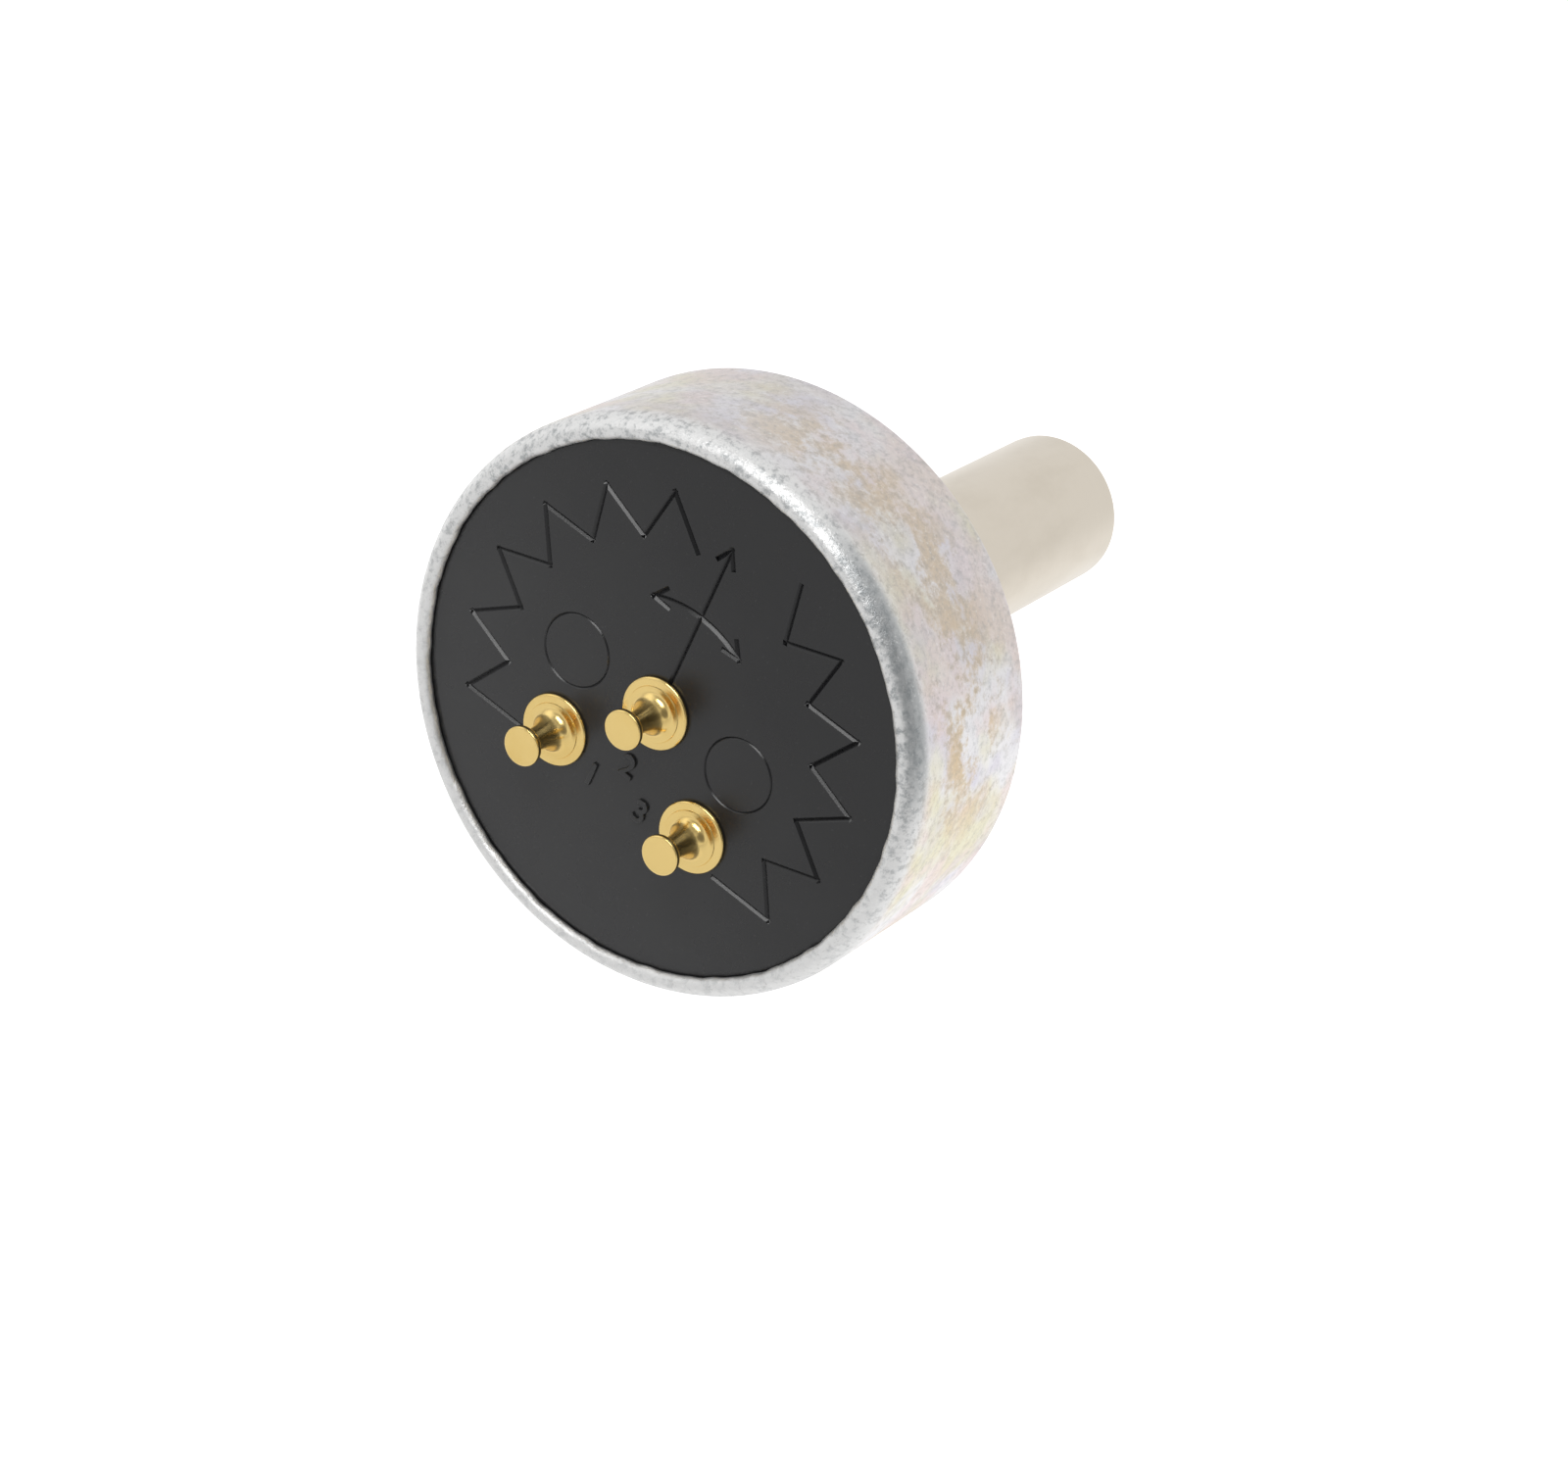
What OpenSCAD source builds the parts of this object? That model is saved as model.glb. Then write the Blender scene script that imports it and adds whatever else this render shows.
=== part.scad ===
// Sealed single-turn rotary potentiometer with turret terminals.
// The shaft lies along +Y and leaves the panel side. The origin is on the shaft axis, in the mounting face.
// Lengths are in millimetres. Angles are seen from the terminal side, anticlockwise from +X, so 90 is +Z.

/* [Case] */
// Outside diameter of the case
case_d = 22.225; // [21.6:0.1:25.4]
// Distance from the mounting face to the face of the base
case_depth = 7.55; // [7.3:0.05:9]
// Thickness of the case steel
case_wall = 0.5; // [0.4:0.05:0.6]
// Radius of the outer front corner
case_corner_r = 0.4; // [0.1:0.05:0.6]
// Inside bend radius of the lip that is rolled over the base
lip_bend_r = 0.6; // [0.4:0.05:0.8]
// Angle through which the lip is rolled
lip_angle = 75; // [60:1:85]
// Diameter of the locating boss on the mounting face
boss_d = 2.4; // [2:0.1:2.8]
// Height of the locating boss
boss_h = 1.5; // [0.8:0.1:2.5]
// Distance from the shaft axis to the locating boss
boss_place_r = 7.9375; // [7.5:0.05:8.5]
// Diameter of the pressed dimple behind the locating boss
dimple_d = 1.4; // [1:0.1:1.8]

/* [Bushing] */
// Major diameter of the mounting thread
thread_d = 9.525; // [9:0.025:10]
// Length of the bushing in front of the mounting face
bushing_len = 6.35; // [5:0.05:9.5]
// Diameter of the shoulder that is pressed into the case and the stop plate
bushing_seat_d = 9.9; // [9.8:0.05:10.2]
// How far the bushing flange stands out round that shoulder
bushing_flange_w = 0.85; // [0.6:0.05:1.2]
// Thickness of the bushing flange
bushing_flange_t = 0.7; // [0.5:0.05:0.9]
// Chamfer at the free end of the thread
bushing_chamfer = 0.4; // [0.2:0.05:0.6]
// Chamfer at each end of the bearing bore
bore_chamfer = 0.25; // [0.1:0.05:0.4]

/* [Shaft] */
// Diameter of the shaft
shaft_d = 6.35; // [6:0.05:6.6]
// Length of the shaft in front of the mounting face
shaft_len = 22.225; // [12:0.1:32]
// Chamfer at the free end of the shaft
shaft_chamfer = 0.3; // [0.1:0.05:0.8]
// Diameter of the collar behind the bushing
collar_d = 8.4; // [7.6:0.1:9]
// Thickness of the collar
collar_t = 0.6; // [0.4:0.05:0.8]
// How deep the collar sits in the rotor
collar_sink = 0.2; // [0.1:0.05:0.3]
// Diameter of the seat that carries the rotor
seat_d = 4.8; // [4.2:0.1:5.2]
// Distance across the two flats of the rotor seat
seat_flats = 3.8; // [3.4:0.1:4.2]
// Diameter of the tenon through the rotor washer
tenon_d = 2.8; // [2.2:0.1:3]
// Diameter of the staked head
stake_d = 3.4; // [3.1:0.05:3.6]
// Thickness of the staked head
stake_t = 0.25; // [0.15:0.05:0.35]

/* [Shaft Fittings] */
// Outside diameter of the retaining ring
ring_d = 8.8; // [8:0.1:9.4]
// Thickness of the retaining ring
ring_t = 0.6; // [0.5:0.05:0.9]
// Diameter of the groove for the retaining ring
ring_groove_d = 5; // [4.6:0.1:5.4]
// Width of the mouth of the retaining ring
ring_mouth = 3.6; // [3:0.1:4.4]
// Diameter of the reliefs between the prongs of the retaining ring
ring_relief_d = 1.2; // [0.8:0.1:1.4]
// Angle between the middle prong and each relief
ring_relief_angle = 60; // [50:1:70]
// Distance from the mounting face to the middle of the seal groove
seal_place = 3; // [2.4:0.1:4]
// Thickness of the shaft seal across its section
seal_section = 0.765; // [0.6:0.005:0.85]
// Width of the seal groove
seal_groove_w = 1.1; // [1:0.05:1.4]
// Thickness of the thrust washer
thrust_t = 0.25; // [0.15:0.05:0.35]
// Outside diameter of the thrust washer
thrust_d = 9.6; // [8.6:0.1:10.4]

/* [Stop] */
// Thickness of the stop plate
stop_plate_t = 0.4; // [0.3:0.05:0.5]
// Width of the stop plate round the shoulder of the bushing
stop_plate_w = 1.43; // [1.1:0.01:1.6]
// How far the outside of the stop tab stands inside the rim of the rotor
stop_tab_inset = 0.2; // [0.1:0.05:0.4]
// Radial thickness of the stop tab
stop_tab_t = 0.5; // [0.4:0.05:0.7]
// Angle that the stop tab covers
stop_tab_angle = 28; // [20:1:34]
// Axial clearance between the stop tab and the rotor
stop_tab_gap = 0.25; // [0.1:0.05:0.3]
// Angle through which the shaft turns
travel = 300; // [260:1:310]
// Angle left between lug and tab at each end of the travel
stop_gap_angle = 0.6; // [0.4:0.1:2]

/* [Rotor] */
// Radial gap between the rotor and the skirt of the base
rotor_gap = 0.3; // [0.2:0.01:0.6]
// Thickness of the rotor
rotor_t = 1.4; // [1.2:0.05:1.5]
// Axial clearance between the moving stop lug and the bushing flange
lug_gap = 0.1; // [0.05:0.05:0.2]
// Radial width of the moving stop lug
lug_w = 1.4; // [1.2:0.05:1.8]
// How far the stop lug stands back from the rim of the rotor
lug_inset = 0.1; // [0.05:0.05:0.2]
// Diameter of the rotor washer
rotor_washer_d = 6; // [5.4:0.1:6.2]
// Thickness of the rotor washer
rotor_washer_t = 0.2; // [0.15:0.05:0.25]
// Diameter of the studs that hold the wiper spring
stud_d = 0.9; // [0.7:0.05:1]
// Distance between the two studs
stud_pitch = 4; // [3.4:0.1:4.4]

/* [Wiper] */
// Thickness of the wiper spring
spring_t = 0.15; // [0.1:0.01:0.2]
// Radial width of the fixed strip of the spring
spring_strip_w = 1.2; // [1.1:0.05:1.4]
// Length of the fixed strip of the spring
spring_strip_len = 5.2; // [5:0.1:5.8]
// Width of the two spring arms
spring_arm_w = 1.6; // [1.4:0.05:1.8]
// How far the arms stand off behind the fixed strip
spring_drop = 0.35; // [0.25:0.05:0.45]
// Radius at which the inner brush runs
collector_brush_r = 2.5; // [2.45:0.05:2.6]
// Radial length of the outer brush
track_brush_len = 1.4; // [1.2:0.05:1.6]
// Radial length of the inner brush
collector_brush_len = 1; // [0.8:0.05:1.1]
// Width of both brushes along their path
brush_w = 1.2; // [1:0.05:1.4]
// Diameter of the tenon that holds each brush in the spring
brush_tenon_d = 0.6; // [0.4:0.05:0.7]
// Gap that is left under the brushes
brush_gap = 0.03; // [0.02:0.01:0.1]

/* [Base] */
// Thickness of the end wall of the base
base_t = 1.95; // [1.7:0.05:2.1]
// Thickness of the skirt of the base
skirt_t = 0.95; // [0.8:0.05:1]
// Height of the rubber ring between base and case
base_seal_h = 0.7; // [0.5:0.05:1]
// Width of the rubber ring between base and case
base_seal_w = 0.75; // [0.6:0.05:0.8]
// Thickness of the track card
card_t = 0.5; // [0.4:0.05:0.6]
// Thickness of the printed track, pads and collector
print_t = 0.1; // [0.05:0.01:0.12]
// Width of the resistive track
track_w = 1.7; // [1.6:0.05:1.9]
// Radial gap between the rolled heads of the terminals and the track
track_gap = 0.1; // [0.05:0.05:0.3]
// Angle that the resistive track covers
track_angle = 266; // [262:1:267]
// Angle that each end pad covers along the track
pad_angle = 23; // [22:1:26]
// Width of the strip between each end pad and its terminal
pad_strip_w = 1.4; // [1.2:0.1:1.6]
// Angle by which that strip leans away from the track
pad_strip_lean = 6; // [5.5:0.25:8]
// Diameter of the collector
collector_d = 6.6; // [6.4:0.1:6.8]

/* [Terminals] */
// Distance from the shaft axis to the end terminals
terminal_place_r = 4.7625; // [4.7:0.0125:4.85]
// Angle between the two end terminals
terminal_spread = 90; // [84:1:96]
// Height of the terminals above the base
terminal_h = 2.25; // [1.8:0.05:3]
// Diameter of the terminal flange
terminal_flange_d = 2.82; // [2.6:0.02:3]
// Thickness of the terminal flange
terminal_flange_t = 0.28; // [0.2:0.02:0.4]
// Diameter of the stem where it meets the flange
stem_foot_d = 1.8; // [1.3:0.05:2]
// Diameter of the neck under the head
stem_neck_d = 0.66; // [0.6:0.02:0.8]
// Diameter of the terminal head
terminal_head_d = 1.54; // [1.4:0.02:1.8]
// Length of the straight neck under the head
stem_neck_len = 0.45; // [0.2:0.05:0.7]
// Thickness of the terminal head
terminal_head_t = 0.3; // [0.2:0.02:0.4]
// Bevel of the terminal head
terminal_head_bevel = 0.08; // [0.04:0.01:0.12]
// Diameter of the shank through the base
shank_d = 1.5; // [1.3:0.05:1.6]
// Diameter of the rolled head inside the case
rolled_head_d = 2; // [1.9:0.05:2.2]
// Thickness of the rolled head
rolled_head_t = 0.2; // [0.15:0.05:0.25]

/* [Moulded Symbol] */
// Width of the moulded lines, which are half as deep
line_w = 0.2; // [0.12:0.01:0.24]
// Distance from the rim of the base to the outer corners of the zigzag
zigzag_inset = 2.03; // [1.8:0.01:2.2]
// Radial height of the zigzag
zigzag_h = 1.9; // [1.6:0.05:2.1]
// Angle between one corner of the zigzag and the next
zigzag_step = 10; // [9:0.5:11]
// Angle of the first corner on each side, from the middle of the symbol
zigzag_start = 120; // [116:1:124]
// Number of corners on the left side
zigzag_corners_left = 12; // [4:1:12]
// Number of corners on the right side
zigzag_corners_right = 11; // [4:1:11]
// How far the wiper arrow reaches past the inner corners of the zigzag
arrow_reach = 0.85; // [0.4:0.05:1.2]
// Length of the barbs of the arrows
barb_len = 0.7; // [0.4:0.05:0.9]
// Angle between each barb and its arrow
barb_angle = 30; // [24:1:40]
// Radius of the curved arrow
turn_arrow_r = 4.45; // [4.2:0.05:4.7]
// Angle that the curved arrow covers
turn_arrow_angle = 54; // [44:1:60]
// Width of the curved arrow
turn_arrow_w = 0.24; // [0.16:0.01:0.3]
// Diameter of the ejector marks
ejector_d = 2.95; // [2.6:0.05:3.1]
// Distance from the shaft axis to the ejector marks
ejector_place_r = 3.9; // [3.8:0.05:4.1]
// Width of the line round each ejector mark
ejector_line_w = 0.1; // [0.06:0.01:0.14]

/* [Fits] */
// Radial clearance between shaft and bushing
shaft_fit = 0.025; // [0.01:0.005:0.1]
// Radial clearance of pieces that are pressed or staked together
seat_fit = 0.02; // [0.01:0.005:0.04]
// Clearance between the base and the case
base_fit = 0.03; // [0.01:0.005:0.06]
// Axial play on each side of the thrust washer
end_play = 0.05; // [0.03:0.01:0.1]
// Clearance between the shaft seal and the bore
seal_fit = 0.01; // [0.01:0.005:0.03]

/* [Hidden] */
$fn = 96;

// Small overlap that lets a cut pass right through a face
over = 0.5;
// Directions of the symbol and of the wiper at mid travel
middle_angle = 90;
opposite_angle = middle_angle + 180;

case_r = case_d / 2;
inside_r = case_r - case_wall;
inner_corner_r = max(case_corner_r - case_wall, 0.1);
seal_outer_r = inside_r - inner_corner_r;
thread_r = thread_d / 2;
case_hole_r = bushing_seat_d / 2 + seat_fit;
bushing_flange_r = bushing_seat_d / 2 + bushing_flange_w;
stop_plate_r = case_hole_r + stop_plate_w;
shaft_r = shaft_d / 2;
bore_r = shaft_r + shaft_fit;

// Places along the axis, from the mounting face towards the terminals
wall_back = -case_wall;
plate_back = wall_back - stop_plate_t;
flange_back = plate_back - bushing_flange_t;
thrust_front = flange_back - end_play;
thrust_back = thrust_front - thrust_t;
collar_front = thrust_back - end_play;
collar_back = collar_front - collar_t;
rotor_front = collar_back + collar_sink;
rotor_back = rotor_front - rotor_t;
washer_back = rotor_back - rotor_washer_t;
stake_back = washer_back - stake_t;
base_face = -case_depth;
base_floor = base_face + base_t;
card_face = base_floor + card_t;
print_face = card_face + print_t;
skirt_front = wall_back - base_seal_h;

// The bend of the rear lip and the rounded edge of the base share one centre
bend_r = inside_r - lip_bend_r;
bend_place = base_face + lip_bend_r - base_fit;
base_r = inside_r - base_fit;
skirt_inside_r = base_r - skirt_t;

// The rotor turns inside the skirt, and the stop follows its rim
rotor_r = skirt_inside_r - rotor_gap;
stop_tab_r = rotor_r - stop_tab_inset;

// The track and its brush run just outside the rolled heads of the end terminals
track_brush_r = terminal_place_r + rolled_head_d / 2 + track_gap + track_w / 2;
spring_place_r = (track_brush_r + collector_brush_r) / 2;

// The retaining ring stands just in front of the bushing
ring_place = bushing_len + 2 * end_play;
ring_groove_place = ring_place - seat_fit;
seal_groove_r = bore_r - seal_fit - seal_section;

// The lug fills what the travel and the tab leave of the full turn
lug_angle = 360 - travel - stop_tab_angle - 2 * stop_gap_angle;

zigzag_outer_r = base_r - zigzag_inset;
zigzag_inner_r = zigzag_outer_r - zigzag_h;
arrow_tip_r = zigzag_inner_r + arrow_reach;

terminal_left_angle = opposite_angle - terminal_spread / 2;
terminal_right_angle = opposite_angle + terminal_spread / 2;
stem_h = terminal_h - terminal_flange_t - terminal_head_t;

case_colour = [0.78, 0.77, 0.73];
base_colour = [0.16, 0.16, 0.17];
gold_colour = [0.93, 0.78, 0.42];
nickel_colour = [0.82, 0.8, 0.75];
brass_colour = [0.8, 0.68, 0.38];
steel_colour = [0.62, 0.64, 0.66];
rubber_colour = [0.1, 0.1, 0.11];
carbon_colour = [0.2, 0.2, 0.21];
silver_colour = [0.85, 0.86, 0.88];
card_colour = [0.55, 0.36, 0.18];
rotor_colour = [0.36, 0.2, 0.12];
spring_colour = [0.84, 0.62, 0.34];

// Turns the drawing axis Z into the shaft axis +Y
module on_axis() rotate([-90, 0, 0]) children();

// Places a child at a radius and an angle round the shaft
module at_polar(radius, angle) rotate([0, 0, -angle]) translate([radius, 0, 0]) children();

// A disc from one place along the axis to another
module disc(radius, from, to) translate([0, 0, min(from, to)]) cylinder(r = radius, h = abs(to - from));

// A flat ring from one place along the axis to another
module ring(inner_r, outer_r, from, to) difference() {
    disc(outer_r, from, to);
    disc(inner_r, min(from, to) - over, max(from, to) + over);
}

// Part of a flat ring, centred on an angle
module sector(inner_r, outer_r, from, to, angle, spread) rotate([0, 0, -angle - spread / 2])
    rotate_extrude(angle = spread) translate([inner_r, min(from, to)])
        square([outer_r - inner_r, abs(to - from)]);

// A bar that runs outwards along an angle
module radial_bar(inner_r, outer_r, width, from, to, angle) rotate([0, 0, -angle])
    translate([inner_r, -width / 2, min(from, to)]) cube([outer_r - inner_r, width, abs(to - from)]);

// Half section of the case: a cup with a rounded front corner and a rolled rear lip
module case_section() {
    difference() {
        union() {
            translate([0, bend_place]) square([case_r, -bend_place - case_corner_r]);
            translate([0, bend_place]) square([case_r - case_corner_r, -bend_place]);
            translate([case_r - case_corner_r, -case_corner_r]) circle(r = case_corner_r);
        }
        translate([0, bend_place - over]) square([inside_r, wall_back - inner_corner_r - bend_place + over]);
        translate([0, bend_place - over]) square([inside_r - inner_corner_r, wall_back - bend_place + over]);
        translate([inside_r - inner_corner_r, wall_back - inner_corner_r]) circle(r = inner_corner_r);
        translate([-over, wall_back - over]) square([case_hole_r + over, case_wall + 2 * over]);
    }
    translate([bend_r, bend_place]) intersection() {
        difference() {
            circle(r = lip_bend_r + case_wall);
            circle(r = lip_bend_r);
        }
        reach = 3 * (lip_bend_r + case_wall);
        polygon([[0, 0], [reach, 0], [reach, -reach], [reach * cos(lip_angle), -reach * sin(lip_angle)]]);
    }
}

module case() color(case_colour) on_axis() difference() {
    union() {
        rotate_extrude() case_section();
        at_polar(boss_place_r, middle_angle) disc(boss_d / 2, wall_back / 2, boss_h);
    }
    at_polar(boss_place_r, middle_angle) disc(dimple_d / 2, wall_back - over, boss_h - case_wall);
}

module bushing() color(nickel_colour) on_axis() difference() {
    rotate_extrude() polygon([
        [0, flange_back],
        [bushing_flange_r, flange_back],
        [bushing_flange_r, plate_back],
        [bushing_seat_d / 2, plate_back],
        [bushing_seat_d / 2, 0],
        [thread_r, 0],
        [thread_r, bushing_len - bushing_chamfer],
        [thread_r - bushing_chamfer, bushing_len],
        [0, bushing_len]
    ]);
    disc(bore_r, flange_back - over, bushing_len + over);
    translate([0, 0, flange_back]) cylinder(r1 = bore_r + bore_chamfer, r2 = bore_r, h = bore_chamfer);
    translate([0, 0, bushing_len - bore_chamfer])
        cylinder(r1 = bore_r, r2 = bore_r + bore_chamfer, h = bore_chamfer);
}

module stop_plate() color(steel_colour) on_axis() {
    ring(case_hole_r, stop_plate_r, wall_back, plate_back);
    sector(stop_plate_r - over, stop_tab_r, wall_back, plate_back, opposite_angle, stop_tab_angle);
    sector(stop_tab_r - stop_tab_t, stop_tab_r, plate_back + over / 2, rotor_front + stop_tab_gap,
           opposite_angle, stop_tab_angle);
}

module thrust_washer() color(brass_colour) on_axis()
    ring(bore_r + bore_chamfer, thrust_d / 2, thrust_front, thrust_back);

// The turned shaft: free end, ring and seal grooves, collar, rotor seat, tenon and staked head
module shaft() color(nickel_colour) on_axis() {
    difference() {
        rotate_extrude() polygon([
            [0, collar_back],
            [collar_d / 2, collar_back],
            [collar_d / 2, collar_front],
            [shaft_r, collar_front],
            [shaft_r, shaft_len - shaft_chamfer],
            [shaft_r - shaft_chamfer, shaft_len],
            [0, shaft_len]
        ]);
        ring(ring_groove_d / 2, shaft_r + over, ring_groove_place, ring_place + ring_t + seat_fit);
        ring(seal_groove_r, shaft_r + over, seal_place - seal_groove_w / 2, seal_place + seal_groove_w / 2);
    }
    intersection() {
        disc(seat_d / 2, rotor_back, collar_back + collar_t / 2);
        translate([-seat_d, -seat_flats / 2, rotor_back])
            cube([2 * seat_d, seat_flats, collar_back + collar_t / 2 - rotor_back]);
    }
    disc(tenon_d / 2, washer_back - stake_t / 2, rotor_back + rotor_t / 2);
    disc(stake_d / 2, stake_back, washer_back);
}

module retaining_ring() color(steel_colour) on_axis() difference() {
    ring(ring_groove_d / 2 + seat_fit, ring_d / 2, ring_place, ring_place + ring_t);
    radial_bar(0, ring_d, ring_mouth, ring_place - over, ring_place + ring_t + over, opposite_angle);
    // Two reliefs leave three prongs that grip the shaft
    for (side = [-1, 1])
        at_polar(ring_groove_d / 2 + ring_relief_d / 4, middle_angle + side * ring_relief_angle)
            disc(ring_relief_d / 2, ring_place - over, ring_place + ring_t + over);
}

module shaft_seal() color(rubber_colour) on_axis() translate([0, 0, seal_place])
    rotate_extrude() translate([seal_groove_r + seal_section / 2, 0]) circle(r = seal_section / 2);

module rotor() color(rotor_colour) on_axis() {
    difference() {
        disc(rotor_r, rotor_front, rotor_back);
        disc(collar_d / 2 + seat_fit, collar_back, rotor_front + over);
        intersection() {
            disc(seat_d / 2 + seat_fit, rotor_back - over, rotor_front + over);
            translate([-seat_d, -seat_flats / 2 - seat_fit, rotor_back - 2 * over])
                cube([2 * seat_d, seat_flats + 2 * seat_fit, rotor_t + 4 * over]);
        }
    }
    sector(rotor_r - lug_inset - lug_w, rotor_r - lug_inset, rotor_front - rotor_t / 2,
           flange_back - lug_gap, middle_angle, lug_angle);
    for (side = [-1, 1])
        rotate([0, 0, -middle_angle]) translate([spring_place_r, side * stud_pitch / 2, 0])
            disc(stud_d / 2, rotor_back + rotor_t / 2, rotor_back - spring_t);
}

module rotor_washer() color(steel_colour) on_axis()
    ring(tenon_d / 2 + seat_fit, rotor_washer_d / 2, rotor_back, washer_back);

// One spring arm: a sloping web and a flat pad that carries a brush
module spring_arm(fixed_r, pad_near_r, pad_far_r) {
    front = rotor_back;
    rotate([0, 0, -middle_angle]) translate([0, spring_arm_w / 2, 0]) rotate([90, 0, 0])
        linear_extrude(spring_arm_w) polygon([
            [fixed_r, front],
            [pad_near_r, front - spring_drop],
            [pad_far_r, front - spring_drop],
            [pad_far_r, front - spring_drop - spring_t],
            [pad_near_r, front - spring_drop - spring_t],
            [fixed_r, front - spring_t]
        ]);
}

module wiper_spring() color(spring_colour) on_axis() difference() {
    union() {
        radial_bar(spring_place_r - spring_strip_w / 2, spring_place_r + spring_strip_w / 2,
                   spring_strip_len, rotor_back, rotor_back - spring_t, middle_angle);
        spring_arm(spring_place_r + spring_strip_w / 2, track_brush_r - track_brush_len / 2,
                   track_brush_r + track_brush_len / 2);
        spring_arm(spring_place_r - spring_strip_w / 2, collector_brush_r + collector_brush_len / 2,
                   collector_brush_r - collector_brush_len / 2);
    }
    for (side = [-1, 1])
        rotate([0, 0, -middle_angle]) translate([spring_place_r, side * stud_pitch / 2, 0])
            disc(stud_d / 2 + seat_fit, rotor_back - over, rotor_back + over);
    for (place = [track_brush_r, collector_brush_r])
        at_polar(place, middle_angle)
            disc(brush_tenon_d / 2 + seat_fit, rotor_back - spring_drop - over, rotor_back);
}

// A carbon block that runs on the printed face, with a tenon through the spring
module brush(place_r, length) color(carbon_colour) on_axis() {
    pad_back = rotor_back - spring_drop - spring_t;
    radial_bar(place_r - length / 2, place_r + length / 2, brush_w, pad_back, print_face + brush_gap,
               middle_angle);
    at_polar(place_r, middle_angle) disc(brush_tenon_d / 2, pad_back - spring_t, pad_back + spring_t);
}

module outer_brush() brush(track_brush_r, track_brush_len);
module inner_brush() brush(collector_brush_r, collector_brush_len);

// Section of a line: a square V, with its sides carried on past the face
module groove_section(width) {
    side = width / 2 + over;
    polygon([[0, width / 2], [-side, -over], [side, -over]]);
}

// Straight moulded line between two points of the base face, given in X and Z
module moulded_line(start, end, width) {
    run = end - start;
    translate([start.x, -start.y, base_face]) rotate([0, 0, -atan2(run.y, run.x)])
        translate([-width / 2, 0, 0]) rotate([90, 0, 90]) linear_extrude(norm(run) + width)
            groove_section(width);
}

// Moulded line along an arc that is centred on an angle
module moulded_arc(radius, width, angle, spread) translate([0, 0, base_face])
    rotate([0, 0, -angle - spread / 2]) rotate_extrude(angle = spread) translate([radius, 0])
        groove_section(width);

function polar(radius, angle) = [radius * cos(angle), radius * sin(angle)];

// Corner number i of the zigzag on one side of the symbol
function zigzag_corner(i, side) =
    polar(i % 2 == 0 ? zigzag_outer_r : zigzag_inner_r,
          middle_angle + side * (zigzag_start - i * zigzag_step));

// The zigzag starts level at each end terminal and leaves a gap for the arrow
module zigzag(side, corners) {
    first = zigzag_corner(0, side);
    terminal_edge = terminal_place_r * sin(terminal_spread / 2) + terminal_flange_d / 2;
    moulded_line([sign(first.x) * terminal_edge, first.y], first, line_w);
    for (i = [0 : corners - 2])
        moulded_line(zigzag_corner(i, side), zigzag_corner(i + 1, side), line_w);
}

// Two barbs behind the point of an arrow that flies along a heading
module barbs(point, heading, width) for (side = [-1, 1])
    moulded_line(point, point + polar(barb_len, heading + 180 + side * barb_angle), width);

module symbol_cut() {
    zigzag(1, zigzag_corners_left);
    zigzag(-1, zigzag_corners_right);
    moulded_line(polar(terminal_flange_d / 2, middle_angle), polar(arrow_tip_r, middle_angle), line_w);
    barbs(polar(arrow_tip_r, middle_angle), middle_angle, line_w);
    moulded_arc(turn_arrow_r, turn_arrow_w, middle_angle, turn_arrow_angle);
    for (side = [-1, 1]) {
        end_angle = middle_angle + side * turn_arrow_angle / 2;
        barbs(polar(turn_arrow_r, end_angle), end_angle + side * 90, line_w);
    }
}

module ejector_cut() for (angle = [middle_angle - 90, middle_angle + 90])
    at_polar(ejector_place_r, angle)
        moulded_arc((ejector_d - ejector_line_w) / 2, ejector_line_w, 0, 360);

// Runs its child at each of the three terminals
module at_terminals() {
    children();
    at_polar(terminal_place_r, terminal_left_angle) children();
    at_polar(terminal_place_r, terminal_right_angle) children();
}

module base() color(base_colour) on_axis() difference() {
    rotate_extrude() difference() {
        union() {
            edge_r = lip_bend_r - base_fit;
            translate([0, base_face]) square([base_r - edge_r, -base_face + skirt_front]);
            translate([0, base_face + edge_r]) square([base_r, skirt_front - base_face - edge_r]);
            translate([base_r - edge_r, base_face + edge_r]) circle(r = edge_r);
        }
        translate([-over, base_floor]) square([skirt_inside_r + over, skirt_front - base_floor + over]);
    }
    symbol_cut();
    ejector_cut();
    at_terminals() disc(shank_d / 2 + seat_fit, base_face - over, base_floor + over);
}

module base_seal() color(rubber_colour) on_axis()
    ring(seal_outer_r - base_seal_w, seal_outer_r, wall_back, skirt_front);

module track_card() color(card_colour) on_axis() difference() {
    disc(skirt_inside_r - base_fit, base_floor, card_face);
    at_terminals() disc(shank_d / 2 + seat_fit, base_floor - over, card_face + over);
}

module resistive_track() color(carbon_colour) on_axis()
    sector(track_brush_r - track_w / 2, track_brush_r + track_w / 2, card_face, print_face,
           middle_angle, track_angle);

module collector() color(silver_colour) on_axis()
    ring(shank_d / 2 + seat_fit, collector_d / 2, card_face, print_face);

// Silver pad at one end of the track, with a strip to its terminal
module end_pad(side, terminal_angle) color(silver_colour) on_axis() difference() {
    union() {
        sector(track_brush_r - track_w / 2, track_brush_r + track_w / 2, card_face, print_face,
               middle_angle + side * (track_angle + pad_angle) / 2, pad_angle);
        radial_bar(terminal_place_r, track_brush_r, pad_strip_w, card_face, print_face,
                   terminal_angle + side * pad_strip_lean);
        at_polar(terminal_place_r, terminal_angle) disc(rolled_head_d / 2, card_face, print_face);
    }
    at_polar(terminal_place_r, terminal_angle)
        disc(shank_d / 2 + seat_fit, card_face - over, print_face + over);
}

module end_pad_left() end_pad(1, terminal_left_angle);
module end_pad_right() end_pad(-1, terminal_right_angle);

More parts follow.
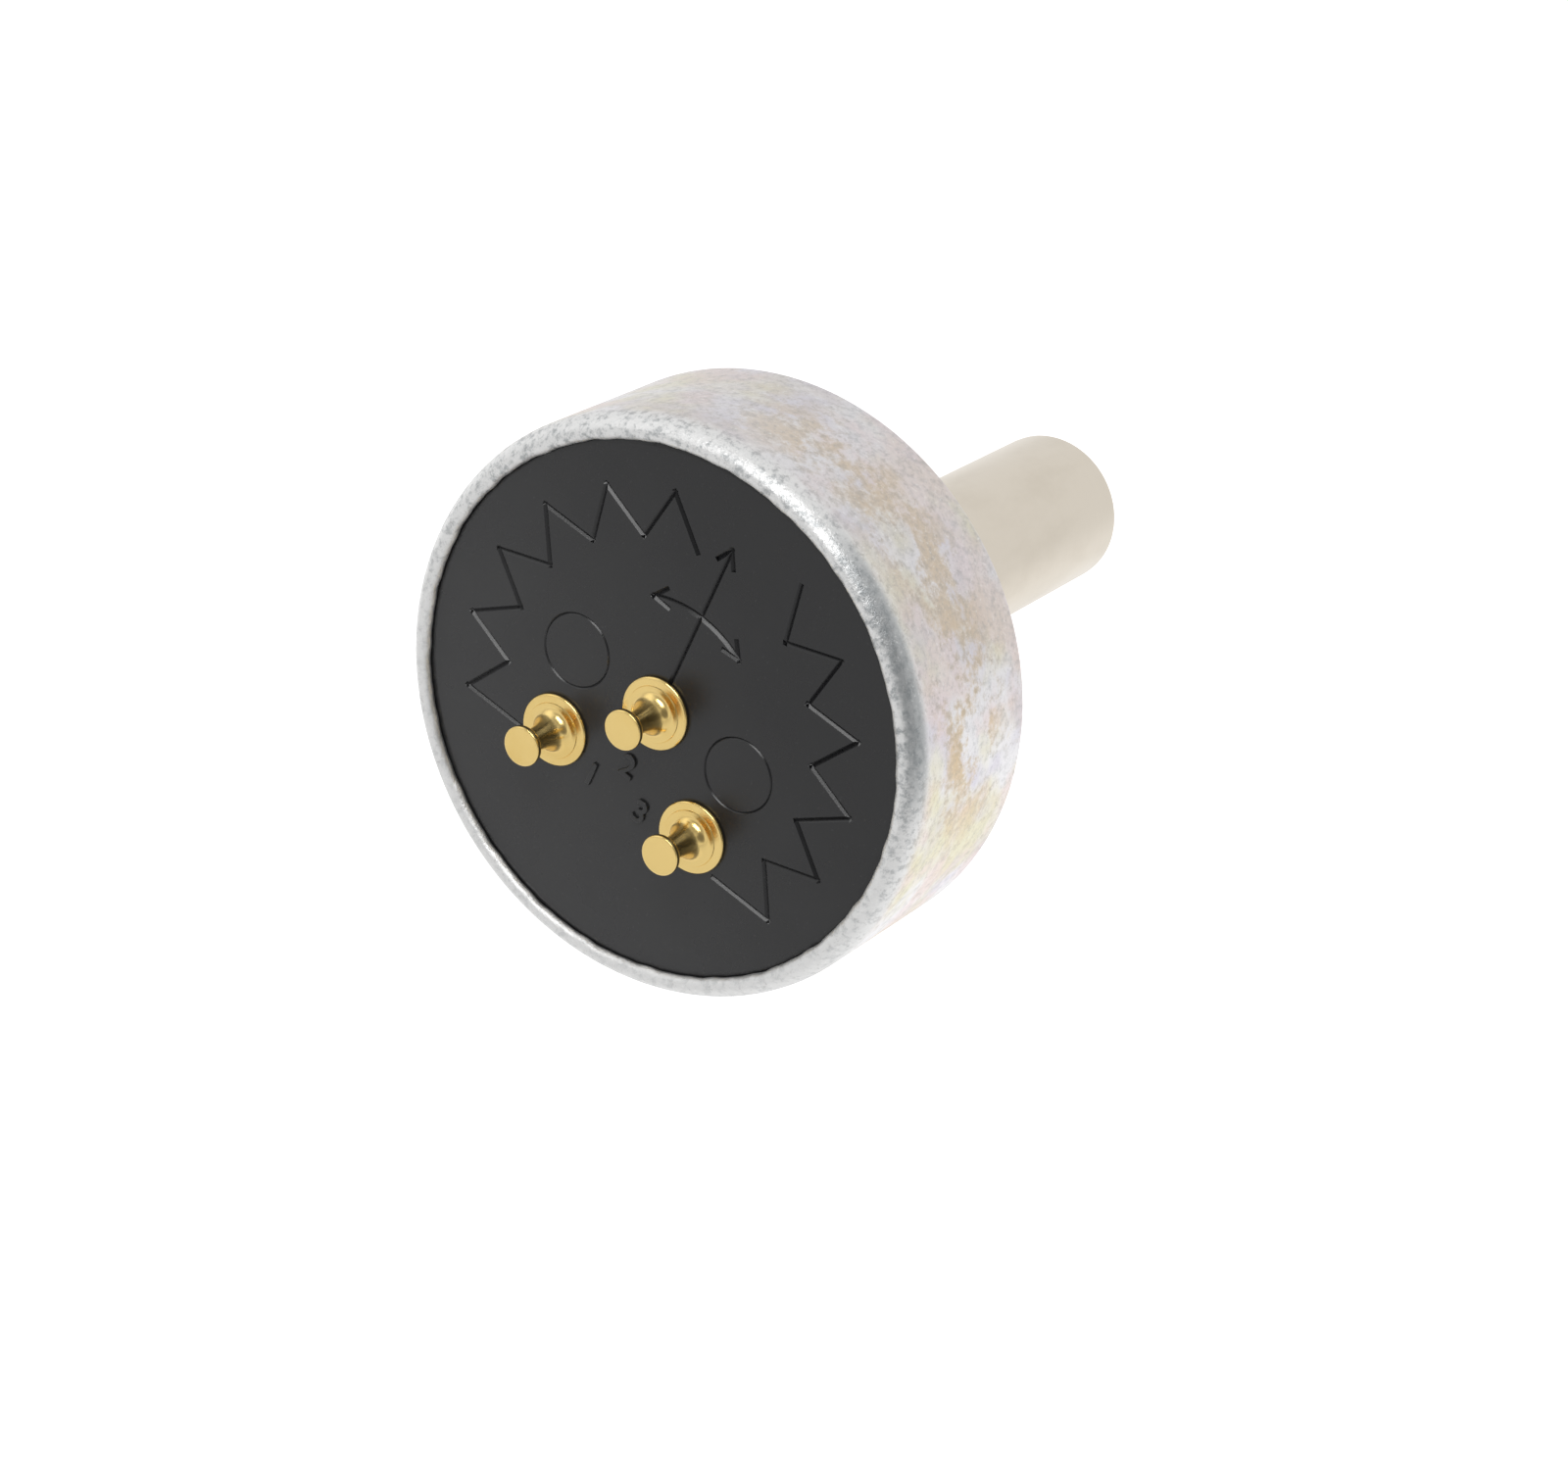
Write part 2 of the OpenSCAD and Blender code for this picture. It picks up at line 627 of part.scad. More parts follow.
// Turned turret: flange, hollow-waisted stem and thin head, on a shank that is rolled over inside
module terminal() {
    waist_depth = (stem_foot_d - stem_neck_d) / 2;
    waist_h = stem_h - stem_neck_len;
    waist_r = (waist_h * waist_h + waist_depth * waist_depth) / (2 * waist_depth);
    head_back = base_face - terminal_h;
    head_front = head_back + terminal_head_t;
    flange_top = base_face - terminal_flange_t;
    edge_r = terminal_flange_t / 2;
    rotate_extrude() {
        translate([0, flange_top]) square([terminal_flange_d / 2 - edge_r, terminal_flange_t]);
        translate([terminal_flange_d / 2 - edge_r, base_face - edge_r]) circle(r = edge_r);
        difference() {
            translate([0, head_front - terminal_head_t / 2])
                square([stem_foot_d / 2, stem_h + terminal_head_t / 2 + terminal_flange_t / 2]);
            translate([stem_neck_d / 2 + waist_r, head_front + stem_neck_len]) circle(r = waist_r);
            translate([stem_neck_d / 2, head_front - terminal_head_t])
                square([stem_foot_d, terminal_head_t + stem_neck_len]);
        }
        polygon([
            [0, head_back],
            [terminal_head_d / 2 - terminal_head_bevel, head_back],
            [terminal_head_d / 2, head_back + terminal_head_bevel],
            [terminal_head_d / 2, head_front - terminal_head_bevel],
            [terminal_head_d / 2 - terminal_head_bevel, head_front],
            [0, head_front]
        ]);
    }
    disc(shank_d / 2, base_face - terminal_flange_t / 2, print_face + rolled_head_t / 2);
    disc(rolled_head_d / 2, print_face, print_face + rolled_head_t);
}

module terminal_wiper() color(gold_colour) on_axis() terminal();
module terminal_left() color(gold_colour) on_axis() at_polar(terminal_place_r, terminal_left_angle) terminal();
module terminal_right() color(gold_colour) on_axis() at_polar(terminal_place_r, terminal_right_angle) terminal();

case();
bushing();
stop_plate();
base();
base_seal();
track_card();
resistive_track();
collector();
end_pad_left();
end_pad_right();
terminal_left();
terminal_wiper();
terminal_right();
thrust_washer();
shaft();
retaining_ring();
shaft_seal();
rotor();
rotor_washer();
wiper_spring();
outer_brush();
inner_brush();
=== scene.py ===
"""A sealed rotary potentiometer, seen from its terminal side."""

from __future__ import annotations

import logging
import math
from dataclasses import dataclass, field
from enum import Enum
from typing import Any

import bpy
from mathutils import Matrix, Vector


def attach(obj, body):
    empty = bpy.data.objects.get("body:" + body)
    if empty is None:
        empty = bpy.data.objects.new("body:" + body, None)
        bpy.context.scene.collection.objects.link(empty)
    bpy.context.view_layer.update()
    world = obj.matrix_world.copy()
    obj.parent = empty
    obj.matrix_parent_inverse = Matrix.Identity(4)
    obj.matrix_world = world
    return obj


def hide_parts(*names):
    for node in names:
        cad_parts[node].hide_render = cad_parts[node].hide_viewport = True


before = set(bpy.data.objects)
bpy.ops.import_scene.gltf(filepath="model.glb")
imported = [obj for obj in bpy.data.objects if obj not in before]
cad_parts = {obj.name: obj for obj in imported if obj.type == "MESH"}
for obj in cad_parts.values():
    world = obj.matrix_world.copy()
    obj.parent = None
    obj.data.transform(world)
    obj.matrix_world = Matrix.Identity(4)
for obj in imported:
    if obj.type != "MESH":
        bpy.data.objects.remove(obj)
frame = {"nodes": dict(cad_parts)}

MM = 0.001
Outline = list[tuple[float, float]]
Colour = tuple[float, float, float]
log = logging.getLogger("potentiometer")


class Body(Enum):
    """The two bodies that move against each other."""

    HOUSING = "housing"
    SPINDLE = "spindle"


# Shader tools


class Level:
    """A number that varies over a surface; arithmetic on it adds Math nodes."""

    def __init__(self, graph: Graph, socket: bpy.types.NodeSocket) -> None:
        """Keeps the output socket that gives the number.

        Args:
            graph: the node graph that the socket belongs to.
            socket: the output socket.
        """
        self.graph = graph
        self.socket = socket

    def _math(self, operation: str, *values: Any) -> Level:
        """Adds one Math node.

        Args:
            operation: the node's operation.
            values: its inputs, as numbers or levels.

        Returns:
            The node's result.
        """
        node = self.graph.add("ShaderNodeMath", {"operation": operation}, dict(enumerate(values)))
        return Level(self.graph, node.outputs[0])

    def __add__(self, other: Any) -> Level:
        """Adds."""
        return self._math("ADD", self, other)

    def __radd__(self, other: Any) -> Level:
        """Adds, with the number on the left."""
        return self._math("ADD", other, self)

    def __sub__(self, other: Any) -> Level:
        """Subtracts."""
        return self._math("SUBTRACT", self, other)

    def __mul__(self, other: Any) -> Level:
        """Multiplies."""
        return self._math("MULTIPLY", self, other)

    def __truediv__(self, other: Any) -> Level:
        """Divides."""
        return self._math("DIVIDE", self, other)

    def root(self) -> Level:
        """Square root."""
        return self._math("SQRT", self)

    def rise(self, low: float, high: float) -> Level:
        """Goes smoothly from 0 to 1.

        Args:
            low: the value where the result is 0.
            high: the value where the result is 1; it may lie below low.

        Returns:
            The eased level.
        """
        node = self.graph.add(
            "ShaderNodeMapRange",
            {"interpolation_type": "SMOOTHSTEP"},
            {"Value": self, "From Min": low, "From Max": high},
        )
        return Level(self.graph, node.outputs[0])


class Graph:
    """The node graph of one material."""

    def __init__(self, name: str) -> None:
        """Starts an empty material.

        Args:
            name: the material's name.
        """
        self.material = bpy.data.materials.new(name)
        self.material.use_nodes = True
        self.tree = self.material.node_tree
        self.shader = self.tree.nodes["Principled BSDF"]
        place = self.add("ShaderNodeTexCoord")
        self.place = place.outputs["Object"]
        parts = self.add("ShaderNodeSeparateXYZ", {}, {0: self.place})
        self.x, self.y, self.z = (Level(self, out) * 1000.0 for out in parts.outputs)

    def add(
        self, kind: str, settings: dict[str, Any] | None = None, inputs: dict[Any, Any] | None = None
    ) -> bpy.types.Node:
        """Adds any node.

        Args:
            kind: the node's type.
            settings: its options, set before the sockets.
            inputs: a value, level or output socket for each input socket.

        Returns:
            The new node.
        """
        node = self.tree.nodes.new(kind)
        for option, value in (settings or {}).items():
            setattr(node, option, value)
        for name, value in (inputs or {}).items():
            target = node.inputs[name]
            if isinstance(value, Level):
                value = value.socket
            if isinstance(value, bpy.types.NodeSocket):
                self.tree.links.new(value, target)
            elif isinstance(value, tuple) and len(value) == 3 and target.type == "RGBA":
                target.default_value = (*value, 1.0)
            else:
                target.default_value = value
        return node

    def stretched(self, x: float, y: float, z: float) -> bpy.types.NodeSocket:
        """Object coordinates in millimetres, scaled along each axis.

        Args:
            x: factor along X.
            y: factor along Y, the shaft.
            z: factor along Z.

        Returns:
            The vector socket.
        """
        scale = (x / MM, y / MM, z / MM)
        return self.add("ShaderNodeMapping", {}, {"Vector": self.place, "Scale": scale}).outputs[0]

    def noise(self, vector: Any, scale: float, detail: float = 2.0, roughness: float = 0.5) -> Level:
        """Cloudy noise from 0 to 1.

        Args:
            vector: where to read it.
            scale: clouds per unit.
            detail: octaves of finer noise.
            roughness: how strong the finer octaves are.

        Returns:
            The noise level.
        """
        node = self.add(
            "ShaderNodeTexNoise",
            {},
            {"Vector": vector, "Scale": scale, "Detail": detail, "Roughness": roughness},
        )
        return Level(self, node.outputs["Fac"])

    def vector(self, x: Any, y: Any, z: Any) -> bpy.types.NodeSocket:
        """A vector of three levels.

        Args:
            x: first level.
            y: second level.
            z: third level.

        Returns:
            The vector socket.
        """
        return self.add("ShaderNodeCombineXYZ", {}, {0: x, 1: y, 2: z}).outputs[0]

    def blend(self, factor: Any, low: Any, high: Any) -> bpy.types.NodeSocket:
        """Mixes two colours.

        Args:
            factor: 0 gives low, 1 gives high.
            low: colour or colour socket.
            high: colour or colour socket.

        Returns:
            The colour socket.
        """
        node = self.add("ShaderNodeMix", {"data_type": "RGBA"}, {0: factor, 6: low, 7: high})
        return node.outputs[2]

    def relief(self, height: Level, depth: float) -> None:
        """Gives the surface a fine relief.

        Args:
            height: the relief, from 0 to 1.
            depth: its depth in millimetres.
        """
        bump = self.add("ShaderNodeBump", {}, {"Strength": 1.0, "Distance": depth * MM, "Height": height})
        self.tree.links.new(bump.outputs[0], self.shader.inputs["Normal"])

    def finish(self, **sockets: Any) -> bpy.types.Material:
        """Sets the shader's own sockets.

        Args:
            sockets: values or sockets by name, with _ for a space.

        Returns:
            The finished material.
        """
        for name, value in sockets.items():
            target = self.shader.inputs[name.replace("_", " ").title().replace("Ior", "IOR")]
            if isinstance(value, Level):
                value = value.socket
            if isinstance(value, bpy.types.NodeSocket):
                self.tree.links.new(value, target)
            elif isinstance(value, tuple):
                target.default_value = (*value, 1.0)
            else:
                target.default_value = value
        return self.material


# Finishes


@dataclass(frozen=True)
class ChromatedZinc:
    """Zinc plate under a clear chromate that shows faint rainbow clouds, with painted shade on the side
    and a painted dark reflection on the rolled lip.
    """

    silver: Colour = (0.77, 0.77, 0.765)
    pearl: Colour = (0.86, 0.85, 0.865)
    slate_and_painted_reflection: Colour = (0.30, 0.32, 0.33)
    shadow: Colour = (0.52, 0.50, 0.51)
    stain: Colour = (0.70, 0.54, 0.33)
    light_grain: Colour = (0.92, 0.92, 0.91)
    dark_grain: Colour = (0.30, 0.29, 0.28)
    tints: tuple[tuple[float, float, Colour], ...] = (
        (0.55, 0.80, (0.77, 0.73, 0.50)),
        (0.60, 0.70, (0.67, 0.64, 0.74)),
        (0.75, 0.70, (0.84, 0.71, 0.70)),
    )
    tint_shift: float = 7.3
    stain_shift: float = 12.0
    stain_way: tuple[float, float] = (0.55, 0.83)
    stain_rear: tuple[float, float] = (-6.9, -5.0)
    stain_front: tuple[float, float] = (-1.2, -3.2)
    # The next three place the painted dark reflection on the rolled lip.
    reflection_way: tuple[float, float] = (0.70, 0.71)
    reflection_front: tuple[float, float] = (-6.95, -7.35)
    reflection_rear: tuple[float, float] = (-7.98, -7.75)
    side_start: tuple[float, float] = (-7.45, -6.65)
    relief: float = 0.045

    def side(self, g: Graph, radius: Level, mottle: Level) -> bpy.types.NodeSocket:
        """The clouded colour of the side and the front, with painted shade at its top and bottom.

        Args:
            g: the material's graph.
            radius: distance from the shaft axis.
            mottle: fine mottling.

        Returns:
            The colour socket.
        """
        colour: Any = self.pearl
        for number, (scale, strength, tint) in enumerate(self.tints):
            clouds = g.noise(self.cloud_place(g, self.tint_shift * number), scale, 3.0, 0.55)
            colour = g.blend(clouds.rise(0.44, 0.62) * strength, colour, tint)
        belt = g.y.rise(*self.stain_rear) * g.y.rise(*self.stain_front)
        belt = belt * self.towards(g, radius, self.stain_way).rise(0.50, 0.90)
        clouds = g.noise(self.cloud_place(g, self.stain_shift), 0.9, 4.0, 0.6)
        stained = (clouds + mottle * 0.5 - 0.25).rise(0.42, 0.60)
        colour = g.blend(stained * (belt * 0.75 + 0.2), colour, self.stain)
        # Painted shade: the side grows darker towards its top, mottled, and a little darker towards its
        # bottom.
        height = g.z / radius
        colour = g.blend(height.rise(0.30, 0.85) * (0.25 + mottle * 0.45), colour, self.shadow)
        colour = g.blend(height.rise(-0.45, -0.85) * 0.22, colour, self.shadow)
        return g.blend(mottle.rise(0.45, 0.68) * 0.30, colour, self.slate_and_painted_reflection)

    def cloud_place(self, g: Graph, shift: float) -> bpy.types.NodeSocket:
        """Where a cloud noise is read, moved along X so that each noise differs."""
        return g.vector(g.x * 0.45 + shift, g.y * 0.5, g.z * 0.45)

    def towards(self, g: Graph, radius: Level, way: tuple[float, float]) -> Level:
        """How far a place lies towards a direction across the shaft, from -1 to 1."""
        return (g.x * way[0] + g.z * way[1]) / radius

    def make(self) -> bpy.types.Material:
        """Builds the material.

        Returns:
            The material.
        """
        g = Graph("zinc_plated_steel")
        radius = (g.x * g.x + g.z * g.z).root()
        mottle = g.noise(g.stretched(1.0, 1.0, 1.0), 3.0, 5.0, 0.72)
        grain = g.noise(g.stretched(1.0, 1.0, 1.0), 6.5, 3.0, 0.7)
        uneven = mottle - 0.5
        on_side = (g.y + uneven * 0.9).rise(*self.side_start)
        # Slate mottling on the lip, stronger towards the top.
        upper_mottle = mottle.rise(0.47, 0.66) * (0.25 + (g.z / radius).rise(-0.5, 0.5) * 0.45)
        lip = g.blend(upper_mottle, self.silver, self.slate_and_painted_reflection)
        colour = g.blend(on_side, lip, self.side(g, radius, mottle))
        # Painted reflection: a mottled dark slate band on the rolled lip towards upper right, standing in
        # for a dark reflection.
        painted_reflection = (g.y + uneven * 0.7).rise(*self.reflection_front) * (g.y + uneven * 0.5).rise(*self.reflection_rear)
        painted_reflection = painted_reflection * self.towards(g, radius, self.reflection_way).rise(0.84, 0.97)
        colour = g.blend(painted_reflection * (0.3 + mottle * 0.8), colour, self.slate_and_painted_reflection)
        colour = g.blend(grain.rise(0.42, 0.30) * 0.35, colour, self.light_grain)
        colour = g.blend(grain.rise(0.58, 0.70) * 0.30, colour, self.dark_grain)
        g.relief(grain * 0.45 + mottle * 0.55, self.relief)
        return g.finish(
            base_color=colour,
            metallic=1.0,
            roughness=0.34 + grain * 0.12 + mottle * 0.12 - on_side * 0.08,
        )


@dataclass(frozen=True)
class Moulding:
    """Satin thermoset or laminate with a fine mould texture."""

    name: str
    colour: Colour
    dust_and_painted_light: Colour
    roughness: float = 0.42
    relief: float = 0.004
    painted_light_way: tuple[float, float] = (0.0, 0.0)

    def make(self) -> bpy.types.Material:
        """Builds the material; the way given along X and Z is where painted light makes it paler.

        Returns:
            The material.
        """
        g = Graph(self.name)
        # Painted light: the colour grows paler along the given way across X and Z, as if more light fell
        # there.
        painted_light = (g.x * self.painted_light_way[0] + g.z * self.painted_light_way[1]).rise(-9.0, 10.0)
        cloudy = g.noise(g.stretched(1.0, 1.0, 1.0), 0.35, 4.0, 0.6)
        fine = g.noise(g.stretched(1.0, 1.0, 1.0), 14.0, 3.0, 0.6)
        flecks = g.noise(g.stretched(1.0, 1.0, 1.0), 7.0, 1.0, 0.5).rise(0.70, 0.76)
        colour = g.blend(cloudy * 0.3 + flecks * 0.4 + painted_light * 0.7 - 0.2, self.colour, self.dust_and_painted_light)
        g.relief(fine, self.relief)
        return g.finish(
            base_color=colour, roughness=self.roughness - 0.08 + cloudy * 0.16, specular_ior_level=0.5
        )


@dataclass(frozen=True)
class TurnedMetal:
    """Plated or bare metal with tool marks that run round the shaft axis."""

    name: str
    colour: Colour
    stain: Colour
    roughness: float = 0.3
    marks: float = 6.0
    relief: float = 0.004

    def make(self) -> bpy.types.Material:
        """Builds the material.

        Returns:
            The material.
        """
        g = Graph(self.name)
        radius = (g.x * g.x + g.z * g.z).root()
        lines = g.noise(g.vector(radius * self.marks, g.y * self.marks, 0.0), 1.0, 4.0, 0.7)
        cloudy = g.noise(g.stretched(0.6, 0.25, 0.6), 1.0, 4.0, 0.6)
        colour = g.blend(cloudy.rise(0.4, 0.75) * 0.5 + lines * 0.15, self.colour, self.stain)
        g.relief(lines, self.relief)
        return g.finish(
            base_color=colour, metallic=1.0, roughness=self.roughness - 0.06 + lines * 0.08 + cloudy * 0.06
        )


@dataclass(frozen=True)
class StampedMetal:
    """Sheet metal or print with a faint rolled grain and clouding."""

    name: str
    colour: Colour
    stain: Colour
    roughness: float = 0.35
    metallic: float = 1.0

    def make(self) -> bpy.types.Material:
        """Builds the material.

        Returns:
            The material.
        """
        g = Graph(self.name)
        rolled = g.noise(g.stretched(6.0, 6.0, 0.5), 1.0, 3.0, 0.6)
        cloudy = g.noise(g.stretched(1.0, 1.0, 1.0), 0.8, 3.0, 0.6)
        colour = g.blend(cloudy.rise(0.4, 0.7) * 0.6 + rolled * 0.2, self.colour, self.stain)
        g.relief(rolled, 0.003)
        return g.finish(
            base_color=colour, metallic=self.metallic, roughness=self.roughness - 0.05 + rolled * 0.12
        )


ZINC = ChromatedZinc()
# Its last pair is the way of a painted light, paler towards -X and -Z of the disc.
BLACK_MOULDING = Moulding(
    "black_moulding", (0.006, 0.006, 0.007), (0.034, 0.034, 0.035), 0.28, 0.002, (-0.54, -0.84)
)
BROWN_MOULDING = Moulding("brown_moulding", (0.17, 0.08, 0.045), (0.24, 0.13, 0.08), 0.5)
BLACK_RUBBER = Moulding("black_rubber", (0.03, 0.03, 0.03), (0.05, 0.05, 0.05), 0.55)
BROWN_LAMINATE = Moulding("brown_laminate", (0.36, 0.20, 0.09), (0.46, 0.28, 0.14), 0.5)
CARBON_PRINT = Moulding("carbon_composition", (0.05, 0.05, 0.055), (0.08, 0.08, 0.085), 0.7)
CARBON_BLOCK = Moulding("carbon_block", (0.045, 0.045, 0.05), (0.07, 0.07, 0.075), 0.6)
GOLD = TurnedMetal("gold_plate", (0.87, 0.65, 0.26), (0.79, 0.55, 0.18), 0.20, 9.0, 0.003)
SHAFT_NICKEL = TurnedMetal(
    "nickel_plated_steel", (0.69, 0.63, 0.54), (0.61, 0.55, 0.46), 0.30, 7.0, 0.004
)
BUSHING_NICKEL = TurnedMetal(
    "nickel_plated_brass", (0.74, 0.71, 0.65), (0.66, 0.62, 0.55), 0.28, 8.0, 0.003
)
BARE_STEEL = StampedMetal("bare_steel", (0.60, 0.61, 0.62), (0.48, 0.48, 0.48), 0.3)
SILVER_PRINT = StampedMetal("silver_print", (0.80, 0.80, 0.79), (0.68, 0.67, 0.64), 0.45)
PLAIN_BRASS = StampedMetal("plain_brass", (0.72, 0.56, 0.26), (0.60, 0.44, 0.20), 0.3)
SPRING_BRONZE = StampedMetal("spring_bronze", (0.74, 0.50, 0.26), (0.62, 0.38, 0.18), 0.3)


# Modelling tools


def deselect() -> None:
    """Clears the selection in object mode."""
    bpy.ops.object.select_all(action="DESELECT")


def only(piece: bpy.types.Object) -> None:
    """Makes one object the selected and active one.

    Args:
        piece: the object.
    """
    deselect()
    piece.select_set(True)
    bpy.context.view_layer.objects.active = piece


def named(name: str) -> bpy.types.Object:
    """Names the new primitive and puts its place into its mesh.

    Args:
        name: the piece's name.

    Returns:
        The piece.
    """
    piece = bpy.context.object
    piece.name = name
    piece.data.name = name
    bpy.ops.object.transform_apply(location=True, rotation=True, scale=True)
    return piece


def arc(centre: tuple[float, float], radius: float, start: float, end: float, steps: int) -> Outline:
    """Points along an arc of an outline.

    Args:
        centre: radius and place of the arc's centre.
        radius: the arc's own radius.
        start: first angle in degrees, from outwards towards the shaft's free end.
        end: last angle in degrees.
        steps: number of pieces.

    Returns:
        The points, both ends included.
    """
    points = []
    for step in range(steps + 1):
        angle = math.radians(start + (end - start) * step / steps)
        points.append((centre[0] + radius * math.cos(angle), centre[1] + radius * math.sin(angle)))
    return points


def turned(name: str, outline: Outline, sides: int, closed: bool) -> bpy.types.Object:
    """Turns an outline about the shaft axis, one extruded ring after the other.

    Args:
        name: the piece's name.
        outline: radius and place along the shaft of each ring, in millimetres.
        sides: points on each ring.
        closed: True joins the last ring to the first; False closes both ends with flat faces.

    Returns:
        The turned piece.
    """
    radius, place = outline[0]
    deselect()
    bpy.ops.mesh.primitive_circle_add(
        vertices=sides, radius=radius * MM, location=(0, place * MM, 0), rotation=(math.pi / 2, 0, 0)
    )
    piece = named(name)
    bpy.ops.object.mode_set(mode="EDIT")
    bpy.ops.mesh.select_all(action="SELECT")
    for next_radius, next_place in outline[1:]:
        bpy.ops.mesh.extrude_region_move(
            TRANSFORM_OT_translate={"value": (0, (next_place - place) * MM, 0)}
        )
        ratio = next_radius / radius
        bpy.ops.transform.resize(value=(ratio, 1, ratio), center_override=(0, next_place * MM, 0))
        radius, place = next_radius, next_place
    bpy.ops.mesh.select_all(action="SELECT")
    bpy.ops.mesh.remove_doubles(threshold=0.001 * MM)
    if not closed:
        bpy.ops.mesh.fill_holes(sides=0)
    bpy.ops.mesh.select_all(action="SELECT")
    bpy.ops.mesh.normals_make_consistent(inside=False)
    bpy.ops.object.mode_set(mode="OBJECT")
    return piece


def shape(piece: bpy.types.Object, kind: str, **options: Any) -> None:
    """Adds a modifier and applies it.

    Args:
        piece: the object.
        kind: the modifier's type.
        options: its settings.
    """
    only(piece)
    modifier = piece.modifiers.new(kind.lower(), kind)
    for option, value in options.items():
        setattr(modifier, option, value)
    bpy.ops.object.modifier_apply(modifier=modifier.name)


def eased(node: bpy.types.Object, name: str, width: float) -> bpy.types.Object:
    """Copies a solid, merges its loose triangles and rounds its sharp edges a little.

    Args:
        node: the solid, which is left as it is.
        name: the copy's name.
        width: width of the rounding in millimetres.

    Returns:
        The copy.
    """
    piece = copied(node, name, Matrix.Identity(4))
    bpy.ops.object.mode_set(mode="EDIT")
    bpy.ops.mesh.select_all(action="SELECT")
    bpy.ops.mesh.remove_doubles(threshold=0.001 * MM)
    bpy.ops.mesh.select_all(action="SELECT")
    bpy.ops.mesh.dissolve_limited(angle_limit=math.radians(0.5))
    bpy.ops.object.mode_set(mode="OBJECT")
    shape(
        piece, "BEVEL", width=width * MM, segments=2, limit_method="ANGLE", angle_limit=math.radians(50),
        use_clamp_overlap=False,
    )
    smooth(piece)
    return piece


def cut(piece: bpy.types.Object, tool: bpy.types.Object, operation: str = "DIFFERENCE") -> None:
    """Cuts one piece with another and deletes the tool.

    Args:
        piece: the piece to cut.
        tool: the cutting shape, whose bars may cross each other.
        operation: the Boolean operation.
    """
    shape(piece, "BOOLEAN", object=tool, operation=operation, solver="EXACT", use_self=True)
    bpy.data.objects.remove(tool)


def smooth(piece: bpy.types.Object, angle: float = 32.0) -> None:
    """Shades a piece smooth below an angle.

    Args:
        piece: the piece.
        angle: the largest smooth angle in degrees.
    """
    only(piece)
    bpy.ops.object.shade_smooth_by_angle(angle=math.radians(angle))


def joined(pieces: list[bpy.types.Object], name: str) -> bpy.types.Object:
    """Joins pieces into the first of them.

    Args:
        pieces: the objects.
        name: the joined piece's name.

    Returns:
        The joined piece.
    """
    only(pieces[0])
    for piece in pieces:
        piece.select_set(True)
    if len(pieces) > 1:
        bpy.ops.object.join()
    pieces[0].name = name
    return pieces[0]


def copied(piece: bpy.types.Object, name: str, matrix: Matrix) -> bpy.types.Object:
    """Copies a piece with its own mesh and moves the copy in its mesh.

    Args:
        piece: the model piece.
        name: the copy's name.
        matrix: where the copy goes, against the model piece.

    Returns:
        The copy.
    """
    copy = bpy.data.objects.new(name, piece.data.copy())
    bpy.context.collection.objects.link(copy)
    only(copy)
    copy.matrix_world = matrix
    bpy.ops.object.transform_apply(location=True, rotation=True, scale=True)
    return copy


def place(
    piece: bpy.types.Object, body: Body, slot: str, material: bpy.types.Material, *nodes: str
) -> None:
    """Gives a finished piece its material, its body and the solids that it stands for.

    Args:
        piece: the piece.
        body: the body that it moves with.
        slot: not used.
        material: its material.
        nodes: the CAD nodes that it replaces.
    """
    piece.data.materials.clear()
    piece.data.materials.append(material)
    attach(piece, body.value)
    if nodes:
        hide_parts(*nodes)
    log.info("%s: %d faces", piece.name, len(piece.data.polygons))


# Sub-assemblies


